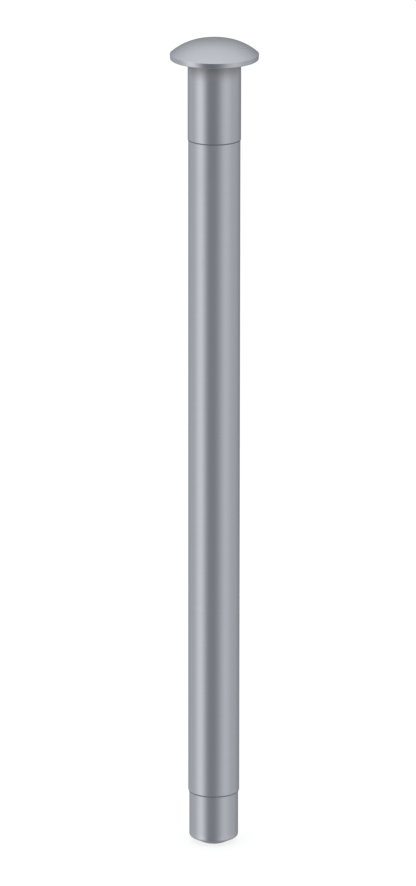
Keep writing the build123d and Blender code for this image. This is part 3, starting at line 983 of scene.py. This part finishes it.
@dataclass
class Band(SubAssembly):
    """The sleeve under the head, and the seal ring that it stands on."""

    wall: float = 0.8 * MM
    edge: float = 0.3 * MM
    seal_bulge: float = 0.3 * MM
    rubber: MouldedRubber = MouldedRubber("band_seal_grey", (0.11, 0.11, 0.114), (0.15, 0.15, 0.154))

    def sleeve(self) -> Surface:
        """The sleeve, its outer edges softened.

        Returns:
            The closed surface.
        """
        low, high = span("band_sleeve")
        outer = girth("band_sleeve")
        bore = outer - self.wall
        corners = [(outer, high, self.edge), (outer, low, self.edge), (bore, low, 0), (bore, high, 0)]
        return ring(corners)

    def seal(self) -> Surface:
        """The seal ring, rounded on its outside.

        Returns:
            The closed surface.
        """
        low, high = span("band_seal")
        outer, bore = girth("band_seal"), girth("post_tube")
        bulge = self.seal_bulge
        corners = [(bore, low, 0), (outer, low, bulge), (outer, high, bulge), (bore, high, 0)]
        return ring(corners)

    def build(self) -> None:
        """Makes the sleeve and its seal."""
        self.place(self.sleeve(), "band_sleeve", "band_steel")
        self.place(self.seal(), "band_seal", "seal_rubber", material=self.rubber.material())


# ---- mushroom head ------------------------------------------------------------------------------
@dataclass
class Head(SubAssembly):
    """The spun dome and the base plate that closes it."""

    wall: float = 2.5 * MM
    crown: float = 170.0 * MM
    knuckle: float = 84.8 * MM
    edge_slope: float = 40.9
    edge_round: float = 1.5 * MM
    edge_height: float = 7.1 * MM
    rim_taper: float = 0.5 * MM
    foot_round: float = 1.2 * MM
    stud_hole: float = 6.1 * MM
    skirt_drop: float = 30.0 * MM
    base_edge: float = 0.4 * MM
    base_finish: FittingMetal = FittingMetal("head_base_zinc", (0.52, 0.53, 0.55), (0.43, 0.44, 0.46), 0.36)

    def arcs(self, inset: float) -> tuple[np.ndarray, np.ndarray]:
        """Crown and knuckle of the dome, from the axis outwards.

        The crown is a shallow arc on the post axis. The knuckle is a tighter arc that leaves it with the
        same slope and reaches the rim's rounding at the edge slope. Both move in by the inset.

        Args:
            inset: distance in from the outer skin.

        Returns:
            The points of the two arcs.
        """
        low, _ = span("head_dome")
        rim = girth("head_dome")
        slope = math.radians(self.edge_slope)
        end_radius = rim - self.edge_round * (1 - math.sin(slope))
        end_height = low + self.edge_height + self.edge_round * math.cos(slope)
        excess = self.crown - self.knuckle
        join = math.degrees(math.asin((end_radius - self.knuckle * math.sin(slope)) / excess))
        side = excess * math.sin(math.radians(join))
        height = end_height - self.knuckle * math.cos(slope)
        crown_height = height - excess * math.cos(math.radians(join))
        reach = self.edge_slope
        if inset:
            reach = math.degrees(math.asin((rim - self.wall - side) / (self.knuckle - inset)))
        crown = arc((0.0, crown_height), self.crown - inset, 90, 90 - join, 24)
        return crown, arc((side, height), self.knuckle - inset, 90 - join, 90 - reach, 24)

    def dome(self) -> Surface:
        """The dome: crown, knuckle, rounded edge, tapered rim and the inside.

        Returns:
            The closed surface.
        """
        low, _ = span("head_dome")
        rim = girth("head_dome")
        crown, knuckle = self.arcs(0.0)
        inner_crown, inner_knuckle = self.arcs(self.wall)
        edge_centre = (rim - self.edge_round, low + self.edge_height)
        edge = arc(edge_centre, self.edge_round, 90 - self.edge_slope, 0, 10)
        foot_radius = rim - self.rim_taper
        foot = arc((foot_radius - self.foot_round, low + self.foot_round), self.foot_round, 0, -90, 10)
        inside = [(rim - self.wall, low)]
        skin = outline(crown, knuckle[1:], edge[1:], foot)
        return around(outline(skin, inside, inner_knuckle[::-1], inner_crown[-2::-1]), closed=False)

    def base(self) -> Surface:
        """The base plate with the hole for the stud, and the skirt that enters the tube.

        Returns:
            The closed surface.
        """
        low, high = span("head_base")
        outer, edge = girth("head_base"), self.base_edge
        skirt, bore = girth("spigot_tube"), spigot_bore()
        plate = low + self.skirt_drop
        corners = [
            (self.stud_hole, plate, edge), (bore, plate, 0), (bore, low, edge), (skirt, low, edge),
            (skirt, plate, 0), (outer, plate, edge), (outer, high, edge), (self.stud_hole, high, edge),
        ]
        return ring(corners)

    def build(self) -> None:
        """Makes the dome and its base."""
        self.place(self.dome(), "head_dome", "head_steel")
        self.place(self.base(), "head_base", "plated_steel", material=self.base_finish.material())


# ---- spigot -------------------------------------------------------------------------------------
@dataclass
class Spigot(SubAssembly):
    """The tube that drops into the ground sleeve, grooved for the gasket, and its end cap."""

    wall: float = SPIGOT_WALL
    groove_depth: float = 0.7 * MM
    groove_top: float = 4.0 * MM
    lock_port: float = 16.1 * MM
    bolt_port: float = 11.0 * MM
    corner: float = 4.4 * MM
    slope: float = 27.5
    flat_radius: float = 19.3 * MM
    flat_edge: float = 2.0 * MM
    nose_wall: float = 3.0 * MM
    skirt_play: float = 0.05 * MM
    skirt_height: float = 12.0 * MM
    skirt_edge: float = 0.5 * MM
    drain: float = 6.0 * MM
    drain_edge: float = 0.3 * MM

    def tube(self) -> Surface:
        """The tube with its groove at ground level and the ports of the lock and of the bolt.

        Returns:
            The closed surface.
        """
        low, high = span("spigot_tube")
        outer = girth("spigot_tube")
        bore = outer - self.wall
        groove = outer - self.groove_depth
        lock = Port(level("stop_pin"), self.lock_port)
        bolt = Port(level("bolt_bush"), self.bolt_port, half_columns=14, rows=16, margin=1.5 * MM)
        channel = np.array([[outer, self.groove_top], [groove, self.groove_top], [groove, 0.0], [outer, 0.0]])
        walls = (
            ported_wall(outer, self.groove_top, high, [lock])
            + ported_wall(outer, low, 0.0, [bolt])
            + ported_wall(bore, low, high, [lock, bolt])
        )
        ends = around(np.array([[outer, low], [bore, low]]), False)
        ends = ends + around(np.array([[bore, high], [outer, high]]), False)
        sleeves = lock.sleeve(outer, bore) + bolt.sleeve(outer, bore)
        return walls + around(channel, False) + ends + sleeves

    def nose(self) -> Surface:
        """The end cap: corner arc, cone, drained flat, and the skirt inside the tube.

        Returns:
            The closed surface.
        """
        low, _ = span("spigot_nose")
        shoulder, _ = span("spigot_tube")
        outer = girth("spigot_tube")
        rise = math.tan(math.radians(self.slope))
        skirt = outer - self.wall - self.skirt_play
        inner = skirt - self.nose_wall
        top = shoulder + self.skirt_height
        bend = arc((outer - self.corner, shoulder), self.corner, 0, self.slope - 90, 12)
        wall_up = self.nose_wall / math.cos(math.radians(self.slope))
        inside = [
            (self.drain, low, self.drain_edge), (self.drain, low + self.nose_wall, self.drain_edge),
            (self.flat_radius - (wall_up - self.nose_wall) / rise, low + self.nose_wall, 0),
            (inner, low + wall_up + (inner - self.flat_radius) * rise, 0),
            (inner, top, self.skirt_edge), (skirt, top, self.skirt_edge),
            (skirt, shoulder, 0), (outer, shoulder, 0),
        ]
        cone_end = (float(bend[-1, 0]), float(bend[-1, 1]), 0)
        rest = rounded([cone_end, (self.flat_radius, low, self.flat_edge), *inside])
        return around(outline(bend, rest[1:-1]))

    def build(self) -> None:
        """Makes the tube and its end cap."""
        self.place(self.tube(), "spigot_tube", "spigot_steel")
        self.place(self.nose(), "spigot_nose", "spigot_steel")


# ---- fasteners and lock -------------------------------------------------------------------------
def hexagon(half_flats: float) -> np.ndarray:
    """Radius of a hexagon in each direction: half the flats over the cosine of the angle from a flat."""
    phase = np.linspace(0, 2 * np.pi, BOSS_SEGMENTS, endpoint=False)
    return half_flats / np.cos(np.mod(phase, np.pi / 3) - np.pi / 6)


def button(radius: float, low: float, high: float, side: float) -> np.ndarray:
    """Outline of a low dome from its top: an ellipse quarter over a short straight side.

    Args:
        radius: radius of the dome.
        low: distance of its foot from the post axis.
        high: distance of its top from the post axis.
        side: share of its height that is the straight side.

    Returns:
        One row of radius and distance for each point.
    """
    angle = np.linspace(0, np.pi / 2, 12)
    rise = high - low
    return np.stack([radius * np.sin(angle), low + side * rise + (1 - side) * rise * np.cos(angle)], axis=1)


@dataclass
class Fasteners(SubAssembly):
    """The four rivets of the spigot and the two pin-in-socket screws of the head, all at the rear."""

    rivet_angles: tuple[float, ...] = (50.0, 130.0)
    rivet_heights: tuple[float, ...] = (24.0 * MM, 150.0 * MM)
    rivet_radius: float = 5.0 * MM
    rivet_height: float = 2.0 * MM
    screw_angles: tuple[float, ...] = (52.0, 128.0)
    screw_radius: float = 5.5 * MM
    screw_height: float = 3.0 * MM
    shank: float = 3.0 * MM
    socket_flats: float = 4.0 * MM
    socket_depth: float = 2.0 * MM
    socket_pin: float = 0.8 * MM
    socket_land: float = 1.1
    socket_lip: float = 0.1 * MM
    side: float = 0.25
    tail: float = 1.5 * MM

    def rivet(self, azimuth: float, height: float) -> Surface:
        """A domed rivet through both tubes.

        Args:
            azimuth: direction from the post axis, in degrees from +X.
            height: height of its axis.

        Returns:
            The closed surface.
        """
        seat, bore = girth("post_tube"), spigot_bore()
        head = as_rows(button(self.rivet_radius, seat, seat + self.rivet_height, self.side))
        shank = [(self.shank, ON_SEAT), (self.shank, bore - self.tail), (0.0, bore - self.tail)]
        return seated_turning([*head, (self.rivet_radius, ON_SEAT), *shank], seat, azimuth, height)

    def screw(self, azimuth: float, height: float) -> Surface:
        """A domed screw with a six-sided socket and a pin in its middle.

        Args:
            azimuth: direction from the post axis, in degrees from +X.
            height: height of its axis.

        Returns:
            The closed surface.
        """
        seat, bore = girth("band_sleeve"), spigot_bore()
        head = as_rows(button(self.screw_radius, seat, seat + self.screw_height, self.side))
        across = hexagon(self.socket_flats / 2)
        mouth = [row for row in head if row[0] > across.max() * self.socket_land]
        top = mouth[0][1] + self.socket_lip
        floor = seat + self.screw_height - self.socket_depth
        pin = [(0.0, top), (self.socket_pin, top), (self.socket_pin, floor)]
        socket = [*pin, (across, floor), (across, top)]
        shank = [(self.shank, ON_SEAT), (self.shank, bore - 2 * self.tail), (0.0, bore - 2 * self.tail)]
        return seated_turning([*socket, *mouth, (self.screw_radius, ON_SEAT), *shank], seat, azimuth, height)

    def build(self) -> None:
        """Makes the rivets as one piece and the screws as another."""
        rivets = [self.rivet(angle, height) for height in self.rivet_heights for angle in self.rivet_angles]
        screws = [self.screw(angle, level("head_screws")) for angle in self.screw_angles]
        for node, group in (("spigot_rivets", rivets), ("head_screws", screws)):
            whole = group[0]
            for one in group[1:]:
                whole = whole + one
            self.place(whole, node, "stainless_fittings")


@dataclass
class Lock(SubAssembly):
    """The flanged barrel round the key, and the drop-shaped cover that swings over it."""

    body: float = 16.0 * MM
    bore: float = 13.0 * MM
    web_back: float = 22.0 * MM
    journal_bore: float = 8.0 * MM
    flange_round: float = 1.0 * MM
    mouth_round: float = 0.8 * MM
    ring_groove: float = 0.25 * MM
    cover_radius: float = 17.0 * MM
    neck_radius: float = 6.5 * MM
    tab_radius: float = 4.0 * MM
    pivot_hole: float = 2.57 * MM
    cover_edge: float = 0.45 * MM
    rivet_boss: float = 5.0 * MM
    rivet_shank: float = 2.5 * MM
    rivet_head: float = 4.5 * MM
    boss_back: float = 41.2 * MM
    boss_round: float = 0.4 * MM
    boss_side: float = 1.5 * MM
    head_front: float = 43.8 * MM
    head_side: float = 0.2
    rivet_tail: float = 2.5 * MM

    def barrel(self) -> Surface:
        """The barrel: flange with a turned ring line, keyhole, web with the journal's bore, and body.

        Returns:
            The closed surface.
        """
        face, inner = back("lock_barrel"), front("lock_barrel")
        flange = girth("lock_barrel")
        line = (flange + self.bore) / 2
        groove = self.ring_groove
        corners = [
            (self.bore, face, self.mouth_round), (line - groove, face, 0), (line, face - groove, 0),
            (line + groove, face, 0), (flange, face, self.flange_round),
            (flange, face - 2 * self.flange_round, 0),
        ]
        front_face = rounded(corners)
        mouth = rounded([(self.bore, self.web_back, 0), *corners[:2]])
        rows = as_rows(mouth) + as_rows(front_face[2:])
        rows += [(flange, ON_SEAT), (self.body, ON_SEAT), (self.body, inner)]
        rows += [(self.journal_bore, inner), (self.journal_bore, self.web_back)]
        return seated_turning(rows, girth("post_tube"), REAR, level("stop_pin"), ring=True)

    def pivot(self) -> Surface:
        """The shouldered rivet of the cover: boss on the tube, shank, and domed head.

        Returns:
            The closed surface.
        """
        seat, bore = girth("post_tube"), spigot_bore()
        dome = button(self.rivet_head, self.head_front, back("cover_rivet"), self.head_side)
        shoulder = rounded([
            (self.rivet_head, self.head_front, 0), (self.rivet_shank, self.head_front, 0),
            (self.rivet_shank, self.boss_back, 0), (self.rivet_boss, self.boss_back, self.boss_round),
            (self.rivet_boss, self.boss_back - self.boss_side, 0),
        ])
        end = bore - self.rivet_tail
        rows = as_rows(dome) + as_rows(shoulder)
        rows += [(self.rivet_boss, ON_SEAT), (self.rivet_shank, ON_SEAT), (self.rivet_shank, end), (0.0, end)]
        return seated_turning(rows, seat, REAR, level("cover_rivet"))

    def drop(self, inset: float) -> np.ndarray:
        """Outline of the cover as seen from the rear, side and height, moved in by an inset.

        It is the curve round a large and a small circle and the straight lines that touch both, with the
        tab's arc below: on a line that touches both, the sine of the slope is the difference of the radii
        over the distance between the centres.

        Args:
            inset: distance in from the outline.

        Returns:
            One row of side and height for each point.
        """
        low, high = level("stop_pin"), level("cover_rivet")
        radii = (self.cover_radius, self.neck_radius, self.tab_radius)
        large, small, tab = (radius - inset for radius in radii)
        touch = math.degrees(math.asin((self.cover_radius - self.neck_radius) / (high - low)))
        drop = low - self.cover_radius
        meet = (2 * self.cover_radius**2 - self.tab_radius**2) / (2 * self.cover_radius)
        half = math.degrees(math.acos(meet / self.cover_radius))
        beside = self.cover_radius * math.sin(math.radians(half))
        tab_start = math.degrees(math.atan2(self.cover_radius - meet, beside))
        upper = arc((0.0, high), small, touch, 180 - touch, 40)
        left = arc((0.0, low), large, 180 - touch, 270 - half, 48)
        below = arc((0.0, drop), tab, 180 - tab_start, 360 + tab_start, 32)
        right = arc((0.0, low), large, 270 + half, 360 + touch, 48)
        return outline(upper, left, below, right)

    def cover(self) -> Surface:
        """The cover: front and back faces between the outline and the pivot hole, edges softened.

        Each ring of the grid is the outline moved in, and the last on either face is the hole's circle,
        its points in the same directions from the pivot as the outline's.

        Returns:
            The closed surface.
        """
        inner, outer = front("dust_cover"), back("dust_cover")
        centre = np.array([0.0, level("cover_rivet")])
        edge = self.cover_edge
        whole = self.drop(0.0)
        away = whole - centre
        hole = centre + self.pivot_hole * away / np.linalg.norm(away, axis=1, keepdims=True)
        soft = self.drop(0.3 * edge)
        rings = [
            (hole, inner), (self.drop(edge), inner), (soft, inner + 0.3 * edge), (whole, inner + edge),
            (whole, outer - edge), (soft, outer - 0.3 * edge), (self.drop(edge), outer), (hole, outer),
        ]
        points = [np.insert(ring, 1, depth, axis=1) for ring, depth in rings]
        return Surface(np.vstack(points), grid_quads(len(rings), len(whole), True))

    def build(self) -> None:
        """Makes the barrel and its cover with the rivet."""
        self.place(self.barrel(), "lock_barrel", "stainless_fittings")
        self.place(self.cover(), "dust_cover", "stainless_fittings", COVER)
        self.place(self.pivot(), "cover_rivet", "stainless_fittings")


@dataclass(frozen=True)
class Works:
    """CAD nodes that are shown as they are, dressed with a finish for each material slot."""

    finishes: tuple[tuple[FittingMetal, tuple[str, ...]], ...] = (
        (
            FittingMetal("zinc_plated_steel", (0.55, 0.56, 0.57), (0.45, 0.46, 0.48), 0.34),
            ("head_stud", "head_washer", "head_nut", "barrel_saddle", "barrel_nut", "guide_plate",
             "lift_carrier", "spindle_clip"),
        ),
        (
            FittingMetal("hardened_steel", (0.40, 0.41, 0.43), (0.30, 0.31, 0.33), 0.26),
            ("key_spindle", "lock_bolt", "bolt_cross_pin", "stop_pin"),
        ),
        (
            FittingMetal("bearing_bronze", (0.62, 0.42, 0.20), (0.47, 0.30, 0.13), 0.36),
            ("thrust_washer", "bolt_bush"),
        ),
    )

    def build(self) -> None:
        """Puts each finish on its nodes."""
        for finish, nodes in self.finishes:
            material = finish.material()
            for node in nodes:
                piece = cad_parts[node]
                for slot in piece.material_slots:
                    slot.material = material
                log.info("%s: dressed as %s", node, finish.name)


# ---- studio -------------------------------------------------------------------------------------
@dataclass(frozen=True)
class Panel:
    """A soft upright panel of light, or of shade, far round the object.

    It stands in a direction, in degrees round from the front and positive to the right. It has its full
    strength over its core, half a width each way, and fades to nothing over the fade.
    """

    direction: float
    core: float
    fade: float
    strength: float


@dataclass(frozen=True)
class Studio:
    """A pale floor, soft light all round whose strength varies with direction, and the camera."""

    floor_size: float = 60.0
    floor_tone: float = 0.2
    floor_drift: float = 0.01
    floor_grain: float = 2.0
    floor_rough: float = 0.9
    floor_glow: float = 0.80
    lens: float = 285.85
    sensor: float = 36.0
    camera_place: tuple[float, float, float] = (0.0, -9.951, 3.412)
    camera_pitch: float = 16.105
    camera_yaw: float = 0.0513
    camera_roll: float = 0.0404
    softbox_size: float = 16.0
    softbox_place: tuple[float, float, float] = (0.0, 2.0, 7.0)
    softbox_power: float = 300.0
    tint_red: float = -0.012
    tint_blue: float = 0.02
    ceiling: float = 0.94
    ceiling_slope: float = 0.16
    ceiling_band: tuple[float, float] = (0.05, 0.82)
    ceiling_lean: float = 0.05
    ground: float = 0.36
    ground_band: tuple[float, float] = (-0.6, -0.9)
    wall_tone: float = 0.60
    window_left: Panel = Panel(-62.0, 0.0, 42.0, 0.51)
    shade_front: Panel = Panel(-12.0, 12.0, 42.0, -0.375)
    window_right: Panel = Panel(56.0, 0.0, 34.0, 0.21)
    shade_rear: Panel = Panel(170.0, 5.0, 65.0, -0.31)

    def floor(self) -> None:
        """The floor, level with the lowest point of the object, which the metal doesn't mirror."""
        half = self.floor_size / 2
        low = cad_box[0].z
        corners = [(-half, -half, low), (half, -half, low), (half, half, low), (-half, half, low)]
        mesh = bpy.data.meshes.new("floor")
        mesh.from_pydata(corners, [], [(0, 1, 2, 3)])
        floor = bpy.data.objects.new("floor", mesh)
        bpy.context.scene.collection.objects.link(floor)
        material, graph, shader = new_material("pale_floor")
        place = graph.add("ShaderNodeTexCoord").outputs["Object"]
        patchy = graph.noise(place, self.floor_grain)
        tone = graph.ramp(patchy, 0.3, 0.7, self.floor_tone - self.floor_drift, self.floor_tone)
        graph.feed(shader, Base_Color=tone)
        shader.inputs["Roughness"].default_value = self.floor_rough
        shader.inputs["Emission Color"].default_value = (1.0, 1.0, 1.0, 1.0)
        shader.inputs["Emission Strength"].default_value = self.floor_glow
        mesh.materials.append(material)
        floor.visible_glossy = False
        floor.visible_shadow = False

    def walls(self, graph: Graph, turn: bpy.types.NodeSocket) -> bpy.types.NodeSocket:
        """Tone of the walls by direction: their own, and what each soft panel adds or takes away.

        Args:
            graph: the world's graph.
            turn: direction round the object, from -pi to pi, 0 at the front.

        Returns:
            The tone.
        """
        tone = self.wall_tone
        for panel in (self.window_left, self.shade_front, self.window_right, self.shade_rear):
            apart = graph.math("ABSOLUTE", graph.less(turn, math.radians(panel.direction)))
            apart = graph.math("MINIMUM", apart, graph.less(math.tau, apart))
            core, end = math.radians(panel.core), math.radians(panel.core + panel.fade)
            share = graph.less(1.0, graph.smooth(apart, core, end))
            tone = graph.plus(tone, graph.times(share, panel.strength))
        return tone

    def surround(self) -> None:
        """Light from all round.

        Low down its tone is the walls'. Higher up it blends into the ceiling's tone, which rises towards
        the front and the left, and below into the ground's. Every tone is slightly blue.
        """
        world = bpy.data.worlds.new("studio")
        world.use_nodes = True
        world.node_tree.nodes.clear()
        graph = Graph(world.node_tree)
        ray = graph.add("ShaderNodeTexCoord").outputs["Generated"]
        parts = graph.apart(ray)
        ahead = graph.times(parts["Y"], -1.0)
        turn = graph.math("ARCTAN2", parts["X"], ahead)
        walls = self.walls(graph, turn)
        ceiling = graph.plus(graph.times(ahead, self.ceiling_slope), self.ceiling)
        left = graph.times(parts["X"], -self.ceiling_lean)
        ceiling = graph.plus(ceiling, left)
        above = graph.ramp(parts["Z"], *self.ceiling_band)
        below = graph.ramp(parts["Z"], *self.ground_band)
        tone = graph.blend(below, graph.blend(above, walls, ceiling), self.ground)
        warm = graph.plus(tone, self.tint_red)
        cool = graph.plus(tone, self.tint_blue)
        colour = graph.add("ShaderNodeCombineColor", inputs={"Red": warm, "Green": tone, "Blue": cool})
        seen = graph.add("ShaderNodeLightPath").outputs["Is Camera Ray"]
        shown = graph.mix(seen, colour.outputs["Color"], (1.0, 1.0, 1.0, 1.0))
        light = graph.add("ShaderNodeBackground", inputs={"Color": shown, "Strength": 1.0})
        graph.add("ShaderNodeOutputWorld", inputs={"Surface": light.outputs[0]})
        bpy.context.scene.world = world

    def softbox(self) -> None:
        """A large soft lamp overhead, which lights the floor and the rubber but isn't mirrored."""
        lamp = bpy.data.lights.new("overhead_softbox", "AREA")
        lamp.shape = "SQUARE"
        lamp.size = self.softbox_size
        lamp.energy = self.softbox_power
        holder = bpy.data.objects.new("overhead_softbox", lamp)
        holder.location = self.softbox_place
        holder.visible_camera = False
        holder.visible_glossy = False
        bpy.context.scene.collection.objects.link(holder)

    def camera(self) -> None:
        """The camera, a long lens a little above the object."""
        lens = bpy.data.cameras.new("camera")
        lens.sensor_fit = "AUTO"
        lens.sensor_width = self.sensor
        lens.lens = self.lens
        camera = bpy.data.objects.new("camera", lens)
        angles = (self.camera_yaw, 90 - self.camera_pitch, self.camera_roll)
        yaw, pitch, roll = (math.radians(angle) for angle in angles)
        turn = Matrix.Rotation(yaw, 4, "Z") @ Matrix.Rotation(pitch, 4, "X") @ Matrix.Rotation(roll, 4, "Z")
        camera.matrix_world = Matrix.Translation(self.camera_place) @ turn
        bpy.context.scene.collection.objects.link(camera)
        bpy.context.scene.camera = camera
        bpy.context.scene.view_settings.view_transform = "Standard"

    def build(self) -> None:
        """Makes the camera, the floor and the lights."""
        self.camera()
        self.floor()
        self.surround()
        self.softbox()


def main() -> None:
    """Builds the studio and every sub-assembly."""
    Studio().build()
    Post(GroundSteel("post_ground_steel")).build()
    # Painted shade on the band just under the head.
    under_head_shade = {"painted_shade_height": span("head_dome")[0] - PAINTED_SHADE_GAP, "painted_shade_reach": PAINTED_SHADE_REACH}
    Band(GroundSteel("band_ground_steel", roughness=0.34, **under_head_shade)).build()
    Head(GroundSteel("head_spun_steel", lay=Lay.RINGS, roughness=0.25, anisotropy=0.2)).build()
    wear = {"rub_height": span("spigot_tube")[0], "rub_reach": WEAR_REACH}
    Spigot(GroundSteel("spigot_ground_steel", **wear)).build()
    Fasteners(FittingMetal("stainless_fasteners", (0.58, 0.585, 0.60), (0.50, 0.505, 0.52), 0.24)).build()
    Lock(FittingMetal("stainless_turned", (0.60, 0.605, 0.62), (0.52, 0.525, 0.54), 0.22)).build()
    Works().build()


if __name__ == "__main__":
    main()
